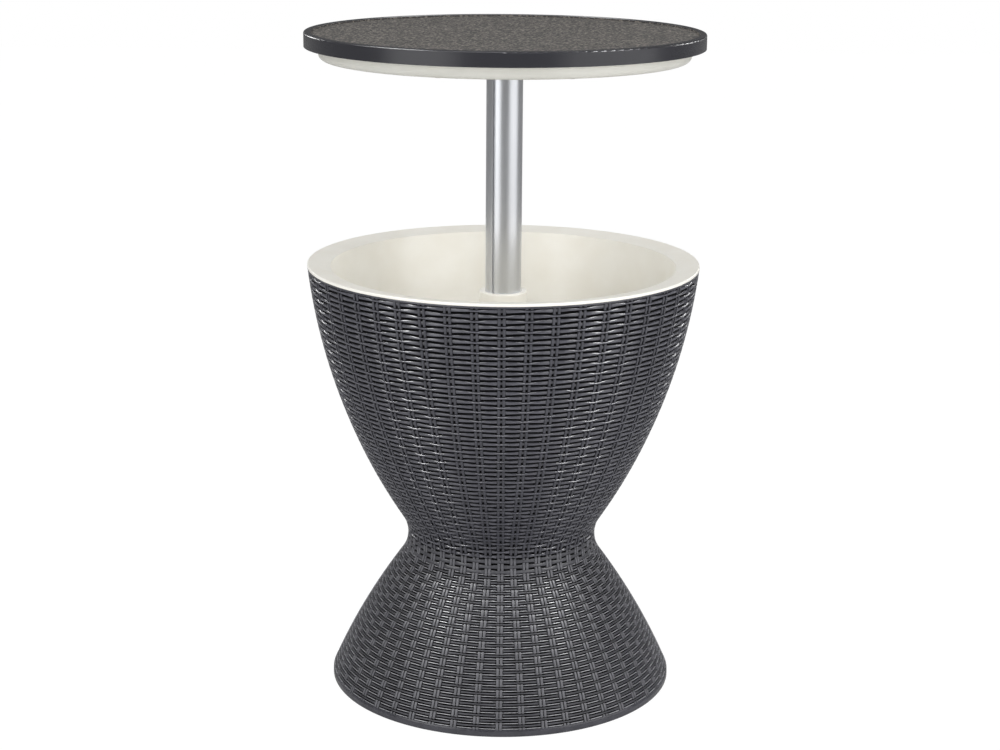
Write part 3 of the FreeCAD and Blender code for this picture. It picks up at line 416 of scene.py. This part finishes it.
class Shader:
    """A material whose pattern is worked out from the piece's own coordinates."""

    def __init__(self, name):
        self.material = bpy.data.materials.new(name)
        self.material.use_nodes = True
        self.tree = self.material.node_tree
        self.surface = self.tree.nodes["Principled BSDF"]
        self.place = self.tree.nodes.new("ShaderNodeTexCoord").outputs["Object"]

    def add(self, kind, inputs=None, **settings):
        node = self.tree.nodes.new(kind)
        for key, value in settings.items():
            setattr(node, key, value)
        for key, value in (inputs or {}).items():
            if isinstance(value, bpy.types.NodeSocket):
                self.tree.links.new(value, node.inputs[key])
            else:
                node.inputs[key].default_value = value
        return node

    def set(self, **inputs):
        for key, value in inputs.items():
            socket = self.surface.inputs[key.replace("_", " ")]
            if isinstance(value, bpy.types.NodeSocket):
                self.tree.links.new(value, socket)
            else:
                socket.default_value = value

    def stretched(self, x, y, z):
        node = self.add("ShaderNodeMapping", {"Vector": self.place, "Scale": (x, y, z)})
        return node.outputs["Vector"]

    def noise(self, scale, detail=2.0, roughness=0.5, place=None):
        node = self.add("ShaderNodeTexNoise", {
            "Vector": place or self.place, "Scale": scale, "Detail": detail, "Roughness": roughness})
        return node.outputs["Fac"]

    def spread(self, value, low, high, to_low=0.0, to_high=1.0):
        node = self.add("ShaderNodeMapRange", {
            "Value": value, "From Min": low, "From Max": high, "To Min": to_low, "To Max": to_high})
        return node.outputs["Result"]

    def blend(self, share, first, second):
        node = self.add("ShaderNodeMix", data_type="RGBA")
        for index, value in ((0, share), (6, first), (7, second)):
            if isinstance(value, bpy.types.NodeSocket):
                self.tree.links.new(value, node.inputs[index])
            else:
                node.inputs[index].default_value = value if index == 0 else (*value, 1)
        return node.outputs[2]

    def math(self, operation, first, second):
        node = self.add("ShaderNodeMath", {0: first, 1: second}, operation=operation)
        return node.outputs[0]

    def bump(self, height, distance, normal=None):
        inputs = {"Height": height, "Distance": distance, "Strength": 1.0}
        if normal is not None:
            inputs["Normal"] = normal
        return self.add("ShaderNodeBump", inputs).outputs["Normal"]


def linear(red, green, blue):
    """A colour given as it shows on a screen, 0 to 255."""
    return tuple(level / 255 / 12.92 if level <= 10 else ((level / 255 + 0.055) / 1.055) ** 2.4
                 for level in (red, green, blue))


MOULD_GRAIN_M = 0.0012


def moulded_plastic(name, dark, light, rough, grain_depth_m):
    """Plastic with a faint mottle and the fine grain of its mould."""
    shader = Shader(name)
    mottle = shader.spread(shader.noise(scale=22.0, detail=3.0), 0.3, 0.7)
    shader.set(Base_Color=shader.blend(mottle, linear(*dark), linear(*light)))
    patches = shader.noise(scale=140.0, detail=3.0)
    shader.set(Roughness=shader.spread(patches, 0.25, 0.75, rough - 0.05, rough + 0.07))
    grain = shader.noise(scale=1 / MOULD_GRAIN_M, roughness=0.6)
    shader.set(Normal=shader.bump(grain, grain_depth_m))
    return shader.material


WEAVE_SHADOW = (8, 8, 9)


def woven(name, dark, light, smooth, rough, gloss_level):
    """Dark plastic, darkened by painted shade from the crowns down between them, and rougher down
    there.
    """
    shader = Shader(name)
    mottle = shader.spread(shader.noise(scale=60.0, detail=4.0, roughness=0.6), 0.3, 0.7)
    crown = shader.blend(mottle, linear(*dark), linear(*light))
    depth = shader.add("ShaderNodeAttribute", attribute_name="weave_painted_shade").outputs["Fac"]
    painted_shade_share = shader.spread(depth, 0.05, 0.9)
    # Painted shade: the colour falls from the crowns' to a near-black shadow down in the weave.
    shader.set(Base_Color=shader.blend(painted_shade_share, crown, linear(*WEAVE_SHADOW)))
    gloss = shader.spread(shader.noise(scale=300.0, detail=3.0), 0.25, 0.75, smooth, rough)
    dulled = shader.spread(depth, 0.35, 1.0, 0.0, 0.8)
    shader.set(Roughness=shader.math("MAXIMUM", gloss, dulled))
    shader.set(Normal=shader.bump(shader.noise(scale=1500.0), distance=0.00004))
    shader.set(Specular_IOR_Level=gloss_level)
    return shader.material


# Distances from the pole's axis and heights at which the table top's stippled field fades in.
FIELD_EDGE_M = (0.2390, 0.2384)
FIELD_LEVEL_M = (0.8368, 0.8371)


def stippled_top():
    """Satin band and rim, with a stippled field inside the rim."""
    shader = Shader("table_top_plastic")
    split = shader.add("ShaderNodeSeparateXYZ", {"Vector": shader.place})
    flat = shader.add("ShaderNodeCombineXYZ", {"X": split.outputs["X"], "Y": split.outputs["Y"]})
    from_axis = shader.add("ShaderNodeVectorMath", {0: flat.outputs[0]}, operation="LENGTH")
    inside = shader.spread(from_axis.outputs["Value"], *FIELD_EDGE_M)
    above = shader.spread(split.outputs["Z"], *FIELD_LEVEL_M)
    field = shader.math("MULTIPLY", inside, above)
    cells = shader.add("ShaderNodeTexVoronoi", {"Vector": shader.place, "Scale": 360.0})
    stipple = shader.spread(cells.outputs["Distance"], 0.1, 0.7)
    patches = shader.spread(shader.noise(scale=14.0, detail=4.0, roughness=0.65), 0.3, 0.7)
    brown = shader.blend(patches, linear(20, 16, 13), linear(46, 40, 35))
    # Painted shade: the stipple's hollows, which the bump sets low, are darkened.
    hollow_painted_shade = shader.spread(stipple, 0.0, 1.0, 0.0, 0.6)
    grain_and_painted_shade = shader.blend(hollow_painted_shade, brown, linear(17, 15, 13))
    specks = shader.spread(shader.noise(scale=330.0, detail=1.0), 0.5, 0.62)
    speckled = shader.blend(specks, grain_and_painted_shade, linear(106, 99, 90))
    satin = linear(44, 44, 49)
    shader.set(Base_Color=shader.blend(field, satin, speckled))
    shader.set(Roughness=shader.spread(field, 0.0, 1.0, 0.25, 0.95), Specular_IOR_Level=0.42)
    skin = shader.bump(shader.noise(scale=900.0), distance=0.0001)
    raised = shader.math("MULTIPLY", shader.math("SUBTRACT", 1.0, stipple), field)
    shader.set(Normal=shader.bump(raised, distance=0.00025, normal=skin))
    return shader.material


def brushed_metal(name, color, rough, streak, across):
    """Metal brushed along one axis: streak scales the pattern along it, across the other two."""
    shader = Shader(name)
    lines = shader.noise(scale=1.0, detail=3.0, roughness=0.7,
                         place=shader.stretched(across, across, streak))
    bright = linear(*color)
    dull = tuple(0.92 * channel for channel in bright)
    shader.set(Base_Color=shader.blend(shader.spread(lines, 0.3, 0.7), dull, bright))
    shader.set(Metallic=1.0)
    shader.set(Roughness=shader.spread(lines, 0.25, 0.75, rough - 0.05, rough + 0.06))
    shader.set(Normal=shader.bump(lines, distance=0.00001))
    return shader.material


def rubber():
    shader = Shader("seal_rubber")
    mottle = shader.noise(scale=80.0)
    shader.set(Base_Color=shader.blend(mottle, linear(38, 38, 38), linear(52, 52, 52)))
    shader.set(Roughness=0.7)
    shader.set(Normal=shader.bump(shader.noise(scale=900.0), distance=0.00008))
    return shader.material


def paint(target, material):
    target.data.materials.clear()
    target.data.materials.append(material)


# Name, azimuth from the front towards +X in degrees, height, distance from the pole, size, power,
# height that it is aimed at, and whether it shows in reflections alone. The others show in none.
LAMPS = [
    ("left_softbox", -55, 1.7, 1.9, (1.9, 3.3), 22, 1.7, False),
    ("right_softbox", 56, 1.7, 1.9, (1.1, 3.3), 29, 1.7, False),
    ("top_softbox", 0, 3.2, 0.2, (1.6, 1.6), 7, 0.5, False),
    ("front_softbox", 0, 1.05, 2.8, (1.2, 0.6), 15, 0.45, False),
    ("back_softbox", 180, 1.4, 1.8, (1.6, 0.8), 10, 0.5, False),
    ("left_low_strip", -45, 1.0, 2.0, (1.4, 1.6), 13, 1.0, True),
    ("right_low_strip", 60, 1.0, 2.0, (2.2, 1.6), 15, 1.0, True),
    ("left_high_strip", -72, 2.3, 1.8, (1.3, 0.8), 75, 0.4, True),
    ("right_high_strip", 72, 2.3, 1.8, (1.3, 0.8), 75, 0.4, True),
    ("left_edge_strip", -137, 1.2, 2.0, (0.4, 0.5), 6, 0.4, True),
    ("right_edge_strip", 137, 1.2, 2.0, (0.4, 0.5), 6, 0.4, True),
    ("front_top_strip", 0, 2.6, 1.3, (2.0, 0.8), 32, 0.5, True),
    ("back_top_strip", 180, 2.4, 1.3, (2.4, 0.6), 4, 0.5, True),
]


def add_lamp(name, azimuth, height, distance, size, power, aim_height, sheen):
    """A softbox that faces the pole."""
    lamp = bpy.data.lights.new(name, "AREA")
    lamp.shape = "RECTANGLE"
    lamp.size, lamp.size_y = size
    lamp.energy = power
    holder = bpy.data.objects.new(name, lamp)
    bpy.context.scene.collection.objects.link(holder)
    turn = math.radians(azimuth)
    holder.location = (distance * math.sin(turn), -distance * math.cos(turn), height)
    aim = Vector((0, 0, aim_height)) - holder.location
    holder.rotation_euler = aim.to_track_quat("-Z", "Y").to_euler()
    holder.visible_diffuse = not sheen
    holder.visible_glossy = sheen
    holder.visible_camera = False


def background(tree, strength):
    node = tree.nodes.new("ShaderNodeBackground")
    node.inputs["Color"].default_value = (1, 1, 1, 1)
    node.inputs["Strength"].default_value = strength
    return node.outputs[0]


# Light falls on the floor's grey, and the camera sees an even glow for most of it.
FLOOR_HALF_WIDTH = 8.0
FLOOR_DROP = 0.0005
FLOOR_GREY = 0.5
FLOOR_GLOW = 1.08
FLOOR_GLOW_SHARE = 0.9


def build_floor():
    """The plain pale floor, just below the foot."""
    mesh = bpy.data.meshes.new("floor")
    side = FLOOR_HALF_WIDTH
    corners = [(-side, -side, 0), (side, -side, 0), (side, side, 0), (-side, side, 0)]
    mesh.from_pydata(corners, [], [(0, 1, 2, 3)])
    floor = bpy.data.objects.new("floor", mesh)
    bpy.context.scene.collection.objects.link(floor)
    floor.location.z = -FLOOR_DROP
    material = bpy.data.materials.new("floor")
    material.use_nodes = True
    tree = material.node_tree
    tree.nodes.clear()
    output = tree.nodes.new("ShaderNodeOutputMaterial")
    matt = tree.nodes.new("ShaderNodeBsdfDiffuse")
    matt.inputs["Color"].default_value = (FLOOR_GREY, FLOOR_GREY, FLOOR_GREY, 1)
    glow = tree.nodes.new("ShaderNodeEmission")
    glow.inputs["Strength"].default_value = FLOOR_GLOW
    path = tree.nodes.new("ShaderNodeLightPath")
    share = tree.nodes.new("ShaderNodeMath")
    share.operation = "MULTIPLY"
    share.inputs[1].default_value = FLOOR_GLOW_SHARE
    mix = tree.nodes.new("ShaderNodeMixShader")
    tree.links.new(path.outputs["Is Camera Ray"], share.inputs[0])
    tree.links.new(share.outputs[0], mix.inputs[0])
    tree.links.new(matt.outputs[0], mix.inputs[1])
    tree.links.new(glow.outputs[0], mix.inputs[2])
    tree.links.new(mix.outputs[0], output.inputs[0])
    mesh.materials.append(material)


# Strength of the white surround, and what glossy and camera rays see in its place.
SURROUND = 0.62
SURROUND_BY_RAY = [("Is Glossy Ray", 0.15), ("Is Camera Ray", 1.0)]


def build_surround():
    """The white world."""
    world = bpy.data.worlds.new("surround")
    bpy.context.scene.world = world
    world.use_nodes = True
    tree = world.node_tree
    tree.nodes.clear()
    output = tree.nodes.new("ShaderNodeOutputWorld")
    path = tree.nodes.new("ShaderNodeLightPath")
    surround = background(tree, SURROUND)
    for ray, strength in SURROUND_BY_RAY:
        mix = tree.nodes.new("ShaderNodeMixShader")
        tree.links.new(path.outputs[ray], mix.inputs[0])
        tree.links.new(surround, mix.inputs[1])
        tree.links.new(background(tree, strength), mix.inputs[2])
        surround = mix.outputs[0]
    tree.links.new(surround, output.inputs[0])


# The photograph's camera, whose frame is 1000 by 750 pixels.
CAMERA_LENS_MM = 73.157
CAMERA_SENSOR_MM = 36.0
CAMERA_PLACE = (-0.003239, -2.523792, 1.072993)
CAMERA_PITCH = math.radians(14.8837)
CAMERA_ROLL = math.radians(0.4286)


def build_camera():
    camera = bpy.data.cameras.new("camera")
    camera.sensor_fit = "HORIZONTAL"
    camera.sensor_width = CAMERA_SENSOR_MM
    camera.lens = CAMERA_LENS_MM
    holder = bpy.data.objects.new("camera", camera)
    bpy.context.scene.collection.objects.link(holder)
    holder.matrix_world = (Matrix.Translation(CAMERA_PLACE)
                           @ Matrix.Rotation(math.pi / 2 - CAMERA_PITCH, 4, "X")
                           @ Matrix.Rotation(CAMERA_ROLL, 4, "Z"))
    bpy.context.scene.camera = holder


def paint_nodes():
    """A material for every CAD piece. Not listed are the steel screws and the two replaced shells."""
    cream = moulded_plastic("cream_plastic", (241, 238, 229), (246, 244, 237), 0.4, 0.00004)
    # The lid's underside is the cream plastic darkened by painted shade, for the shade under the lid.
    dish_painted_shade = moulded_plastic("cream_with_painted_shade", (210, 209, 201), (217, 216, 209), 0.42, 0.00004)
    inner = moulded_plastic("inner_plastic", (40, 40, 41), (50, 50, 51), 0.5, 0.00006)
    steel = brushed_metal("screw_steel", (170, 170, 168), rough=0.32, streak=900.0, across=900.0)
    aluminium = brushed_metal("brushed_aluminium", (214, 216, 220), rough=0.34, streak=12.0,
                              across=2600.0)
    seal = rubber()
    looks = {
        "table_top": stippled_top(),
        "lid_underside": dish_painted_shade,
        "pole_socket": cream,
        "guide_collar": cream,
        "inner_liner": cream,
        "pole": aluminium,
        "pole_end_stop": inner,
        "turning_bush": inner,
        "guide_tube": inner,
        "drain_spigot": inner,
        "drain_nut": inner,
        "drain_seal": seal,
        "drain_plug": seal,
    }
    for name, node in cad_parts.items():
        paint(node, looks.get(name, steel))


paint_nodes()
build_weave()
build_floor()
build_surround()
for lamp in LAMPS:
    add_lamp(*lamp)
build_camera()
bpy.context.scene.view_settings.view_transform = "Standard"
